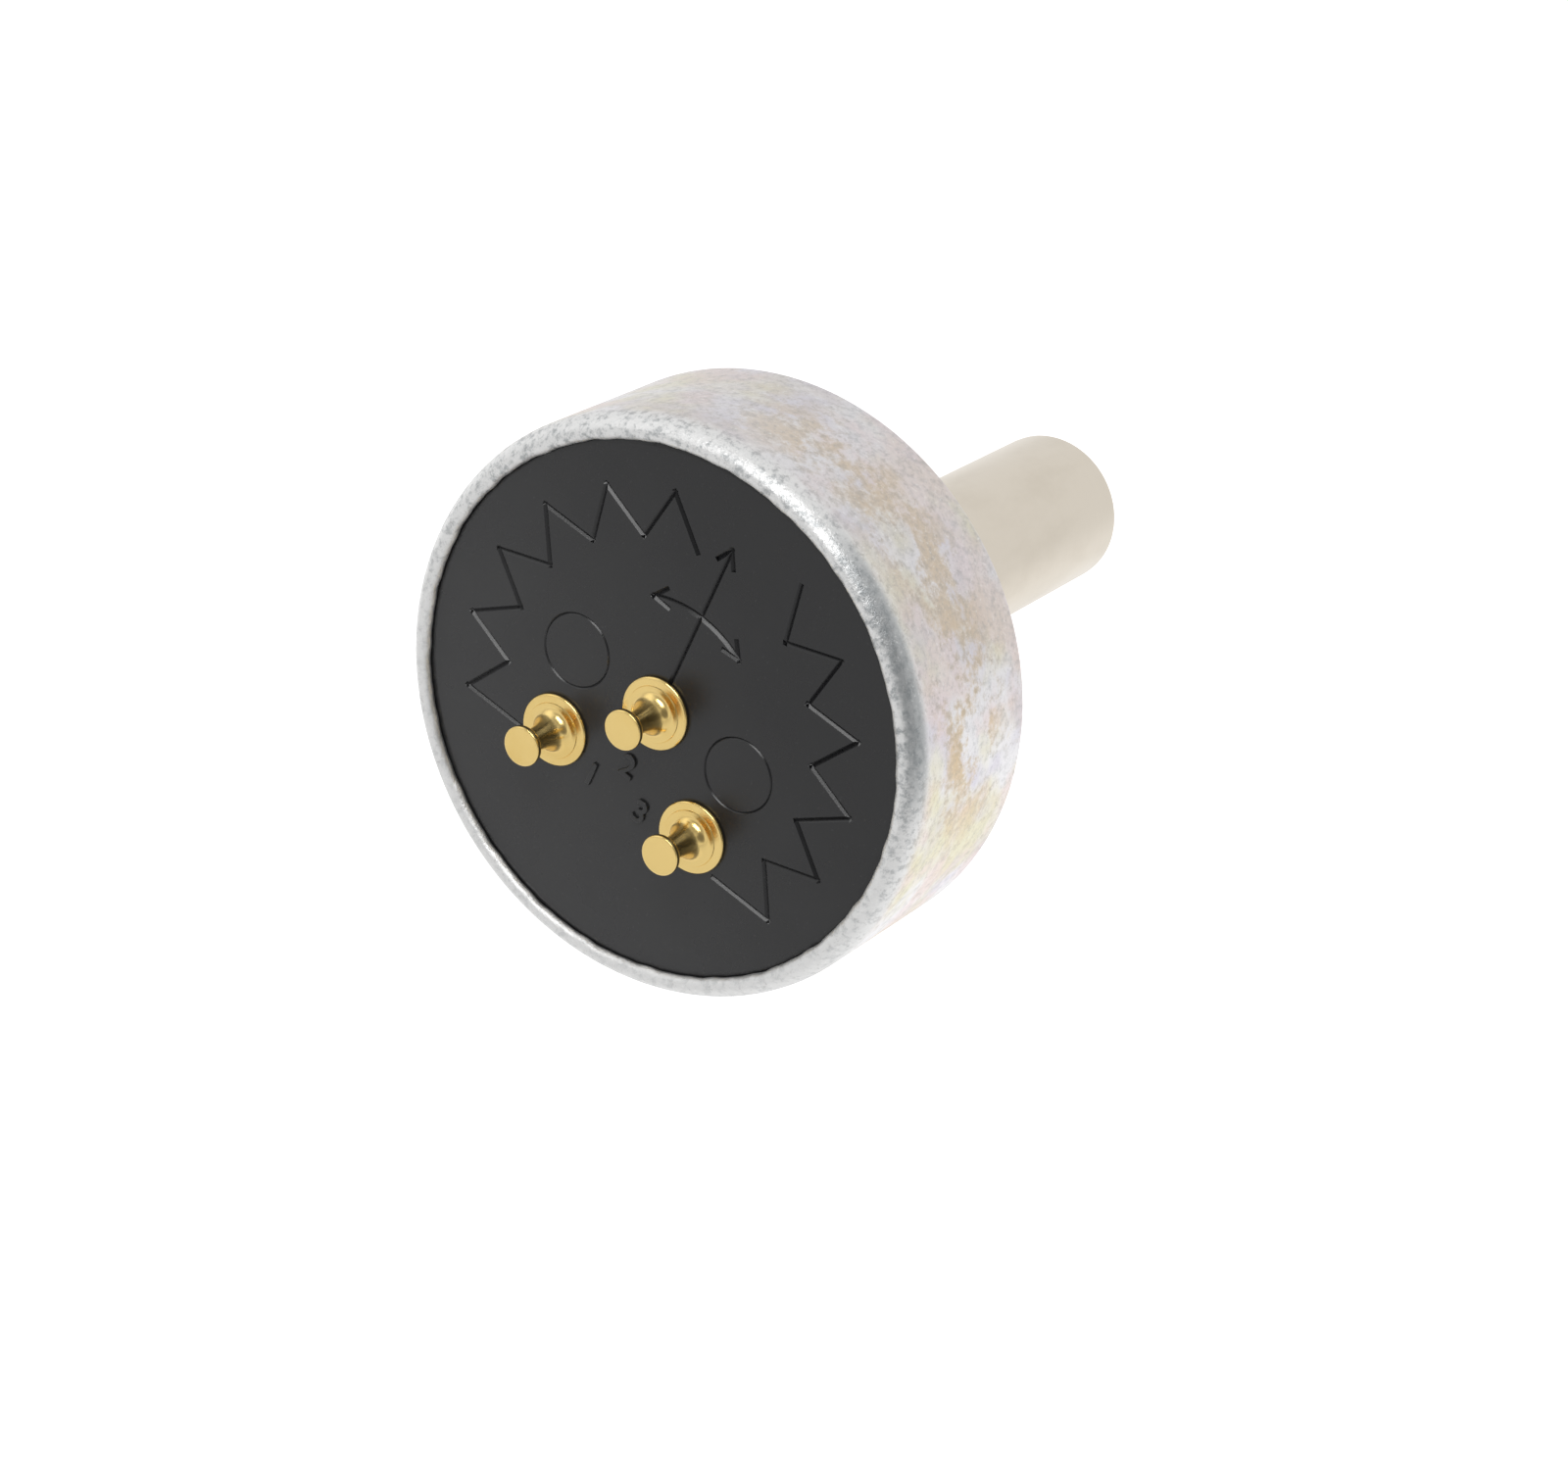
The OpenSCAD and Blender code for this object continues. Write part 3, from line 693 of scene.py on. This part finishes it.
@dataclass
class Case:
    """The drawn steel cup whose rear edge is rolled over the base."""

    radius: float = 11.1125
    hole_radius: float = 4.97
    wall: float = 0.5
    corner: float = 0.4
    inner_corner: float = 0.1
    bend_centre: tuple[float, float] = (10.0125, -6.98)
    bend_inside: float = 0.6
    lip_angle: float = 75.0
    boss_radius: float = 1.2
    boss_height: float = 1.5
    boss_place: float = 7.9375
    sides: int = 288
    lip_round: tuple[float, float] = (0.3, 0.14)
    lip_wear: float = 0.014
    lip_waves: tuple[tuple[int, float], ...] = ((7, 0.3), (19, 1.9), (43, 4.1), (67, 0.7))

    def outline(self) -> Outline:
        """The closed outline of the sheet, from the bushing hole round to itself.

        Returns:
            The rings of the case.
        """
        inside = self.radius - self.wall
        outer_bend = self.bend_inside + self.wall
        points = [(self.hole_radius, 0.0), (self.radius - self.corner - 0.1, 0.0)]
        points += arc((self.radius - self.corner, -self.corner), self.corner, 90, 0, 8)
        points += [(self.radius, y) for y in (-1.6, -3.2, -4.8, -6.2, -6.9)]
        top, under = self.lip_round
        top_turn = -self.lip_angle + math.degrees(math.asin(top / (outer_bend - top)))
        under_turn = -self.lip_angle + math.degrees(math.asin(under / (self.bend_inside + under)))
        top_centre = arc(self.bend_centre, outer_bend - top, top_turn, 0, 1)[0]
        under_centre = arc(self.bend_centre, self.bend_inside + under, under_turn, 0, 1)[0]
        end_turn = -self.lip_angle - 90
        points += arc(self.bend_centre, outer_bend, 0, top_turn, 14)
        points += arc(top_centre, top, top_turn, end_turn, 7)[1:]
        points += arc(under_centre, under, end_turn, under_turn - 180, 5)
        points += arc(self.bend_centre, self.bend_inside, under_turn, 0, 10)[1:]
        points += [(inside, y) for y in (-5.0, -2.0, -0.7)]
        inner_centre = (inside - self.inner_corner, -self.wall - self.inner_corner)
        points += arc(inner_centre, self.inner_corner, 0, 90, 3)
        points += [(self.hole_radius, -self.wall), (self.hole_radius, 0.0)]
        return points

    def wear_lip(self, piece: bpy.types.Object) -> None:
        """Makes the free edge of the lip slightly uneven.

        Args:
            piece: the turned case.
        """
        edge = self.bend_centre[0] + self.bend_inside * math.cos(math.radians(self.lip_angle))
        for vertex in piece.data.vertices:
            radius = math.hypot(vertex.co.x, vertex.co.z) / MM
            near = max(0.0, 1.0 - (radius - edge) / self.lip_round[0])
            if near > 0 and vertex.co.y < -7.3 * MM:
                angle = math.atan2(vertex.co.z, vertex.co.x)
                waves = sum(math.sin(count * angle + start) for count, start in self.lip_waves)
                ratio = 1 + self.lip_wear * min(near, 1.0) * waves / radius
                vertex.co.x *= ratio
                vertex.co.z *= ratio

    def boss(self) -> bpy.types.Object:
        """The locating boss on the mounting face.

        Returns:
            The boss, still on the shaft axis.
        """
        edge = 0.2
        points = [(self.boss_radius, -0.05), (self.boss_radius, self.boss_height - edge)]
        points += arc((self.boss_radius - edge, self.boss_height - edge), edge, 0, 90, 5)[1:]
        points += [(self.boss_radius - edge - 0.05, self.boss_height)]
        piece = turned("case_boss", points, 48, False)
        return copied(piece, "locating_boss", Matrix.Translation((0, 0, self.boss_place * MM)))

    def build(self) -> bpy.types.Object:
        """Builds the case with its boss.

        Returns:
            The case.
        """
        shell = turned("case_shell", self.outline(), self.sides, True)
        self.wear_lip(shell)
        boss = self.boss()
        bpy.data.objects.remove(bpy.data.objects["case_boss"])
        piece = joined([shell, boss], "case_shell")
        smooth(piece)
        return piece

    def dress(self, piece: bpy.types.Object) -> None:
        """Gives the case its plate.

        Args:
            piece: the case.
        """
        place(piece, Body.HOUSING, "zinc_plated_steel", ZINC.make(), "case")


@dataclass
class TerminalBase:
    """The black moulded disc, which keeps its solid, and the raised numbers of its terminals."""

    face: float = -7.55
    digit_size: float = 1.3
    digit_height: float = 0.05
    digit_bevel: float = 0.03
    numbers: tuple[tuple[str, float, float], ...] = (
        ("1", -1.3, -4.0), ("2", -0.1, -2.7), ("3", 1.1, -4.0)
    )

    def digit(self, text: str, x: float, z: float) -> bpy.types.Object:
        """One raised number beside a terminal.

        Args:
            text: the number.
            x: place of its middle across, in millimetres.
            z: place of its middle upwards, in millimetres.

        Returns:
            The number as a mesh.
        """
        deselect()
        y = self.face - self.digit_height / 2
        bpy.ops.object.text_add(location=(x * MM, y * MM, z * MM), rotation=(math.pi / 2, 0, 0))
        data = bpy.context.object.data
        data.body = text
        data.align_x = "CENTER"
        data.align_y = "CENTER"
        data.size = self.digit_size * MM
        data.extrude = self.digit_height * MM
        data.bevel_depth = self.digit_bevel * MM
        data.bevel_resolution = 2
        bpy.ops.object.convert(target="MESH")
        return named(f"number_{text}")

    def build(self) -> bpy.types.Object:
        """Builds the numbers.

        Returns:
            The numbers as one piece.
        """
        return joined([self.digit(*mark) for mark in self.numbers], "terminal_numbers")

    def dress(self, numbers: bpy.types.Object, disc: bpy.types.Object) -> None:
        """Gives the disc and its numbers their black moulding.

        Args:
            numbers: the raised numbers.
            disc: the solid of the disc.
        """
        material = BLACK_MOULDING.make()
        place(numbers, Body.HOUSING, "black_moulding", material)
        disc.data.materials.clear()
        disc.data.materials.append(material)


@dataclass
class RetainingRing:
    """The stamped ring that keeps the shaft in its bushing."""

    edge_width: float = 0.05

    def build(self, nodes: dict[str, bpy.types.Object]) -> bpy.types.Object:
        """Copies the ring and eases its stamped edges.

        Args:
            nodes: the solids by name.

        Returns:
            The ring.
        """
        return eased(nodes["retaining_ring"], "snap_ring", self.edge_width)

    def dress(self, piece: bpy.types.Object) -> None:
        """Gives the ring its bare steel.

        Args:
            piece: the ring.
        """
        place(piece, Body.SPINDLE, "bare_steel", BARE_STEEL.make(), "retaining_ring")


@dataclass
class Turrets:
    """The three gold plated turret terminals."""

    face: float = -7.55
    height: float = 2.25
    flange_radius: float = 1.41
    flange_height: float = 0.28
    step_radius: float = 1.08
    step_height: float = 0.04
    stem: Outline = field(
        default_factory=lambda: [
            (0.39, 0.03), (0.40, 0.22), (0.43, 0.40), (0.47, 0.55), (0.52, 0.68), (0.58, 0.79),
            (0.65, 0.875), (0.73, 0.935), (0.81, 0.975), (0.88, 0.993), (0.96, 1.0),
        ]
    )
    crown: float = 0.02
    flange_slope: float = 0.03
    head_radius: float = 0.77
    head_height: float = 0.3
    rim: tuple[float, float] = (0.13, 0.07)
    bevel: float = 0.08
    shank_radius: float = 0.75
    rolled_radius: float = 1.0
    rolled_places: tuple[float, float] = (-5.0, -4.8)
    circle_radius: float = 4.7625
    copy_turn: float = 1.1

    def outline(self) -> Outline:
        """The turned outline, from the head to the rolled end.

        Returns:
            The rings.
        """
        back = self.face - self.height
        front = back + self.head_height
        top = self.face - self.flange_height
        rim = back + self.crown
        points = [(0.1, back), (0.25, back + self.crown * 0.1), (0.5, back + self.crown * 0.5)]
        wide, deep = self.rim
        for across, down in arc((0.0, 1.0), 1.0, -90, 0, 5):
            points += [(self.head_radius - wide + wide * across, rim + deep * down)]
        points += arc((self.head_radius - self.bevel, front - self.bevel), self.bevel, 0, 90, 4)
        points += [(self.stem[0][0] + 0.04, front)]
        points += [(radius, front + (top - front) * share) for radius, share in self.stem]
        points += [(self.step_radius, top), (self.step_radius + 0.02, top + self.step_height)]
        edge = (self.flange_height - self.flange_slope - self.step_height) / 2
        points += arc((self.flange_radius - edge, self.face - edge), edge, -90, 90, 8)
        points += [(self.shank_radius, self.face), (self.shank_radius, self.rolled_places[0])]
        points += [(self.rolled_radius, self.rolled_places[0])]
        points += [(self.rolled_radius, self.rolled_places[1] - 0.05)]
        points += [(self.rolled_radius - 0.05, self.rolled_places[1]), (0.3, self.rolled_places[1])]
        return points

    def build(self) -> dict[str, bpy.types.Object]:
        """Turns one terminal and copies it.

        Returns:
            The three turrets by the node that each replaces.
        """
        middle = turned("turret_wiper", self.outline(), 72, False)
        smooth(middle, 40)
        pieces = {"terminal_wiper": middle}
        offset = self.circle_radius * math.sqrt(0.5) * MM
        for side, x in (("left", -offset), ("right", offset)):
            turn = Matrix.Rotation(self.copy_turn * (1 if x > 0 else 2), 4, "Y")
            pieces[f"terminal_{side}"] = copied(
                middle, f"turret_{side}", Matrix.Translation((x, 0, -offset)) @ turn
            )
        return pieces

    def dress(self, pieces: dict[str, bpy.types.Object]) -> None:
        """Gives the turrets their gold.

        Args:
            pieces: the turrets by node.
        """
        gold = GOLD.make()
        for node, piece in pieces.items():
            place(piece, Body.HOUSING, "gold_plate", gold, node)


@dataclass
class Shaft:
    """The plain round shaft with its hidden collar, seat and grooves."""

    radius: float = 3.175
    length: float = 22.225
    end_round: float = 0.3
    collar: tuple[float, float, float] = (4.2, -2.55, -1.95)
    seat_radius: float = 2.4
    seat_back: float = -3.75
    flats: float = 1.9
    tenon_radius: float = 1.4
    stake: tuple[float, float, float] = (1.7, -4.2, -3.95)
    ring_groove: tuple[float, float, float] = (2.5, 6.43, 7.07)
    seal_groove: tuple[float, float, float] = (2.425, 2.45, 3.55)

    def outline(self) -> Outline:
        """The turned outline, from the staked head to the free end.

        Returns:
            The rings.
        """
        points = [(1.0, self.stake[1]), (self.stake[0] - 0.1, self.stake[1])]
        points += arc((self.stake[0] - 0.1, self.stake[1] + 0.1), 0.1, -90, 0, 3)
        points += [(self.stake[0], self.stake[2]), (self.tenon_radius, self.stake[2])]
        points += [(self.tenon_radius, self.seat_back), (self.seat_radius, self.seat_back)]
        points += [(self.seat_radius, self.collar[1]), (self.collar[0], self.collar[1])]
        points += [(self.collar[0], self.collar[2]), (self.radius, self.collar[2])]
        for floor, back, front in (self.seal_groove, self.ring_groove):
            points += [(self.radius, back), (floor, back), (floor, front), (self.radius, front)]
        end = self.length - self.end_round
        points += [(self.radius, place) for place in (10.0, 14.0, 18.0, end - 0.15)]
        points += [(self.radius - 0.012, end + 0.04)]
        points += [(self.radius - self.end_round + 0.05, self.length - 0.03)]
        points += [(self.radius - self.end_round, self.length), (self.radius - 0.5, self.length)]
        points += [(1.0, self.length)]
        return points

    def build(self) -> bpy.types.Object:
        """Turns the shaft and mills the flats of its rotor seat.

        Returns:
            The shaft.
        """
        piece = turned("round_shaft", self.outline(), 128, False)
        flats = []
        length = self.collar[1] - self.seat_back
        for side in (-1, 1):
            deselect()
            bpy.ops.mesh.primitive_cube_add(
                size=1,
                location=(0, (self.seat_back + length / 2) * MM, side * (self.flats + 1.0) * MM),
                scale=(6 * MM, (length - 0.02) * MM, 2 * MM),
            )
            flats.append(named("flat"))
        cut(piece, joined(flats, "flats"))
        smooth(piece)
        return piece

    def dress(self, piece: bpy.types.Object) -> None:
        """Gives the shaft its satin plate.

        Args:
            piece: the shaft.
        """
        place(piece, Body.SPINDLE, "nickel_plated_steel", SHAFT_NICKEL.make(), "shaft")


@dataclass
class Bushing:
    """The threaded bushing that carries the shaft."""

    crest_radius: float = 4.7625
    pitch: float = 0.79375
    thread_depth: float = 0.48
    length: float = 6.35
    chamfer: float = 0.4
    seat_radius: float = 4.95
    plate_back: float = -0.9
    flange_radius: float = 5.8
    flange_back: float = -1.6
    bore_radius: float = 3.2
    bore_chamfer: float = 0.25

    def core(self) -> bpy.types.Object:
        """The bushing under its thread.

        Returns:
            The core with its flange and bore.
        """
        root = self.crest_radius - self.thread_depth
        points = [
            (self.bore_radius + self.bore_chamfer, self.flange_back),
            (self.flange_radius - 0.05, self.flange_back),
            (self.flange_radius, self.flange_back + 0.05),
            (self.flange_radius, self.plate_back),
            (self.seat_radius, self.plate_back),
            (self.seat_radius, -0.05),
            (self.seat_radius - 0.05, 0.0),
            (root, 0.0),
            (root, self.length - 0.08),
            (root - 0.08, self.length),
            (self.bore_radius + self.bore_chamfer, self.length),
            (self.bore_radius, self.length - self.bore_chamfer),
            (self.bore_radius, self.flange_back + self.bore_chamfer),
            (self.bore_radius + self.bore_chamfer, self.flange_back),
        ]
        return turned("bushing_core", points, 128, True)

    def thread(self) -> bpy.types.Object:
        """The helical thread, trimmed to the chamfered length of the bushing.

        Returns:
            The thread.
        """
        root = self.crest_radius - self.thread_depth
        half = self.pitch / 2
        crest = self.thread_depth + 0.02
        section = ((-half + 0.02, -0.1), (-0.05, crest), (0.05, crest), (half - 0.02, -0.1))
        deselect()
        bpy.ops.mesh.primitive_plane_add(size=1 * MM)
        ridge = named("thread")
        for vertex, (along, out) in zip((ridge.data.vertices[i] for i in (0, 2, 3, 1)), section):
            vertex.co = ((root + out) * MM, (along - 1.2 * self.pitch) * MM, 0)
        turns = math.ceil(self.length / self.pitch) + 3
        shape(
            ridge, "SCREW", axis="Y", angle=2 * math.pi, screw_offset=self.pitch * MM, iterations=turns,
            steps=72, render_steps=72, use_merge_vertices=False,
        )
        bpy.ops.object.mode_set(mode="EDIT")
        bpy.ops.mesh.select_all(action="SELECT")
        bpy.ops.mesh.remove_doubles(threshold=0.001 * MM)
        bpy.ops.mesh.fill_holes(sides=0)
        bpy.ops.mesh.select_all(action="SELECT")
        bpy.ops.mesh.normals_make_consistent(inside=False)
        bpy.ops.object.mode_set(mode="OBJECT")
        envelope = turned(
            "envelope",
            [
                (root - 0.06, 0.02),
                (self.crest_radius - 0.15, 0.02),
                (self.crest_radius, 0.17),
                (self.crest_radius, self.length - self.chamfer),
                (root + 0.05, self.length - 0.02),
                (root - 0.06, self.length - 0.02),
                (root - 0.06, 0.02),
            ],
            128,
            True,
        )
        cut(ridge, envelope, "INTERSECT")
        return ridge

    def build(self) -> bpy.types.Object:
        """Builds the bushing with its thread.

        Returns:
            The bushing.
        """
        piece = joined([self.core(), self.thread()], "threaded_bushing")
        smooth(piece, 35)
        return piece

    def dress(self, piece: bpy.types.Object) -> None:
        """Gives the bushing its plate.

        Args:
            piece: the bushing.
        """
        place(piece, Body.HOUSING, "nickel_plated_brass", BUSHING_NICKEL.make(), "bushing")


@dataclass
class InnerWorks:
    """The pieces inside the case, which keep the shape of their solids."""

    finishes: dict[str, tuple[Any, tuple[str, ...]]] = field(
        default_factory=lambda: {
            "bare_steel": (BARE_STEEL, ("stop_plate", "rotor_washer")),
            "black_rubber": (BLACK_RUBBER, ("base_seal", "shaft_seal")),
            "brown_laminate": (BROWN_LAMINATE, ("track_card",)),
            "carbon_composition": (CARBON_PRINT, ("resistive_track",)),
            "silver_print": (SILVER_PRINT, ("collector", "end_pad_left", "end_pad_right")),
            "plain_brass": (PLAIN_BRASS, ("thrust_washer",)),
            "brown_moulding": (BROWN_MOULDING, ("rotor",)),
            "spring_bronze": (SPRING_BRONZE, ("wiper_spring",)),
            "carbon_block": (CARBON_BLOCK, ("outer_brush", "inner_brush")),
        }
    )

    def dress(self, nodes: dict[str, bpy.types.Object]) -> None:
        """Gives each inner piece its material.

        Args:
            nodes: the solids by name.
        """
        for finish, names in self.finishes.values():
            material = finish.make()
            for name in names:
                nodes[name].data.materials.clear()
                nodes[name].data.materials.append(material)
                log.info("%s: %s", name, material.name)


# Studio


@dataclass
class Studio:
    """Camera, floor and light."""

    azimuth: float = 20.441
    elevation: float = 32.561
    roll: float = 26.203
    distance: float = 147.393
    target: tuple[float, float, float] = (0.603, 3.672, -4.992)
    lens: float = 86.22
    floor_place: float = -40.0
    key_direction: tuple[float, float, float] = (-0.056, -0.575, 0.79)
    key_power: float = 0.46
    key_size: tuple[float, float] = (0.214, 0.105)
    fill_direction: tuple[float, float, float] = (-0.8, -0.35, 0.5)
    fill_power: float = 0.06
    fill_size: tuple[float, float] = (0.25, 0.25)
    lamp_distance: float = 0.35
    dark_direction: tuple[float, float, float] = (0.712, -0.448, 0.541)
    dark_zone: tuple[float, float, float] = (0.84, 0.95, 0.2)
    key_zone: tuple[float, float, float] = (0.60, 0.95, 0.35)
    surroundings: float = 0.95
    soft_light: float = 0.55
    floor_glow: float = 0.55

    def camera(self) -> None:
        """Sets the camera at the photograph's viewing angle."""
        az, el, roll = (math.radians(a) for a in (self.azimuth, self.elevation, self.roll))
        back = Vector((math.sin(az) * math.cos(el), -math.cos(az) * math.cos(el), math.sin(el)))
        level_right = Vector((math.cos(az), math.sin(az), 0))
        level_up = back.cross(level_right)
        right = math.cos(roll) * level_right + math.sin(roll) * level_up
        up = back.cross(right)
        spot = (Vector(self.target) + back * self.distance) * MM
        data = bpy.data.cameras.new("camera")
        data.sensor_width = 36.0
        data.lens = self.lens
        data.clip_start = 0.005
        data.clip_end = 10.0
        camera = bpy.data.objects.new("camera", data)
        bpy.context.collection.objects.link(camera)
        camera.matrix_world = Matrix.Translation(spot) @ Matrix((right, up, back)).transposed().to_4x4()
        bpy.context.scene.camera = camera

    def lamp(
        self, name: str, direction: tuple[float, float, float], power: float, size: tuple[float, float]
    ) -> None:
        """A large soft lamp that looks at the object.

        Args:
            name: the lamp's name.
            direction: where it stands, seen from the object.
            power: its power in watts.
            size: its width and height in metres.
        """
        data = bpy.data.lights.new(name, "AREA")
        data.energy = power
        data.shape = "RECTANGLE"
        data.size, data.size_y = size
        lamp = bpy.data.objects.new(name, data)
        bpy.context.collection.objects.link(lamp)
        spot = Vector(direction).normalized() * self.lamp_distance
        lamp.matrix_world = Matrix.Translation(spot) @ spot.to_track_quat("Z", "Y").to_matrix().to_4x4()

    def floor(self) -> None:
        """A plain pale floor, white to the camera apart from the object's shadow."""
        deselect()
        bpy.ops.mesh.primitive_plane_add(size=6.0, location=(0, 0, self.floor_place * MM))
        piece = named("studio_floor")
        g = Graph("pale_floor")
        g.finish(base_color=(0.92, 0.92, 0.92), roughness=0.9)
        ray = g.add("ShaderNodeLightPath")
        mirrored = Level(g, ray.outputs["Is Glossy Ray"]) * (g.y.rise(-40.0, 30.0) * 0.75 + 0.05)
        shown = Level(g, ray.outputs["Is Camera Ray"]) + mirrored
        glow = {"Color": (1.0, 1.0, 1.0), "Strength": self.floor_glow}
        white = g.add("ShaderNodeEmission", {}, glow)
        both = g.add("ShaderNodeAddShader", {}, {0: g.shader.outputs[0], 1: white.outputs[0]})
        pick = g.add("ShaderNodeMixShader", {}, {0: shown, 1: g.shader.outputs[0], 2: both.outputs[0]})
        output = g.tree.nodes["Material Output"]
        g.tree.links.new(pick.outputs[0], output.inputs["Surface"])
        piece.data.materials.append(g.material)

    def world(self) -> None:
        """White surroundings, with two darker zones that metal reflects."""
        world = bpy.data.worlds.new("studio")
        world.use_nodes = True
        bpy.context.scene.world = world
        tree = world.node_tree
        nodes, links = tree.nodes, tree.links
        background = nodes["Background"]
        ray = nodes.new("ShaderNodeLightPath")
        coordinates = nodes.new("ShaderNodeTexCoord")
        shades = []
        for direction, (low, high, dark) in (
            (self.dark_direction, self.dark_zone),
            (self.key_direction, self.key_zone),
        ):
            towards = nodes.new("ShaderNodeVectorMath")
            towards.operation = "DOT_PRODUCT"
            towards.inputs[1].default_value = Vector(direction).normalized()
            links.new(coordinates.outputs["Generated"], towards.inputs[0])
            shade = nodes.new("ShaderNodeMapRange")
            shade.interpolation_type = "SMOOTHSTEP"
            shade.inputs["From Min"].default_value = low
            shade.inputs["From Max"].default_value = high
            shade.inputs["To Min"].default_value = self.surroundings
            shade.inputs["To Max"].default_value = dark
            links.new(towards.outputs["Value"], shade.inputs["Value"])
            shades.append(shade)
        glossy = nodes.new("ShaderNodeMath")
        glossy.operation = "MINIMUM"
        for shade, target in zip(shades, glossy.inputs):
            links.new(shade.outputs[0], target)
        diffuse = nodes.new("ShaderNodeMix")
        diffuse.data_type = "FLOAT"
        diffuse.inputs[3].default_value = self.soft_light
        links.new(ray.outputs["Is Diffuse Ray"], diffuse.inputs[0])
        links.new(glossy.outputs[0], diffuse.inputs[2])
        straight = nodes.new("ShaderNodeMix")
        straight.data_type = "FLOAT"
        straight.inputs[3].default_value = 1.0
        links.new(ray.outputs["Is Camera Ray"], straight.inputs[0])
        links.new(diffuse.outputs[0], straight.inputs[2])
        links.new(straight.outputs[0], background.inputs["Strength"])
        background.inputs["Color"].default_value = (1.0, 1.0, 1.0, 1.0)

    def build(self) -> None:
        """Sets up the whole studio."""
        self.camera()
        self.floor()
        self.world()
        self.lamp("key", self.key_direction, self.key_power, self.key_size)
        self.lamp("fill", self.fill_direction, self.fill_power, self.fill_size)
        bpy.context.scene.view_settings.view_transform = "Standard"


def main() -> None:
    """Builds and dresses the potentiometer and its studio."""
    logging.basicConfig(level=logging.INFO, format="%(name)s: %(message)s")
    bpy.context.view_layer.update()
    for assembly in (Case(), Turrets(), Shaft(), Bushing()):
        assembly.dress(assembly.build())
    ring = RetainingRing()
    ring.dress(ring.build(frame["nodes"]))
    base = TerminalBase()
    base.dress(base.build(), frame["nodes"]["base"])
    InnerWorks().dress(frame["nodes"])
    Studio().build()


if __name__ == "__main__":
    main()
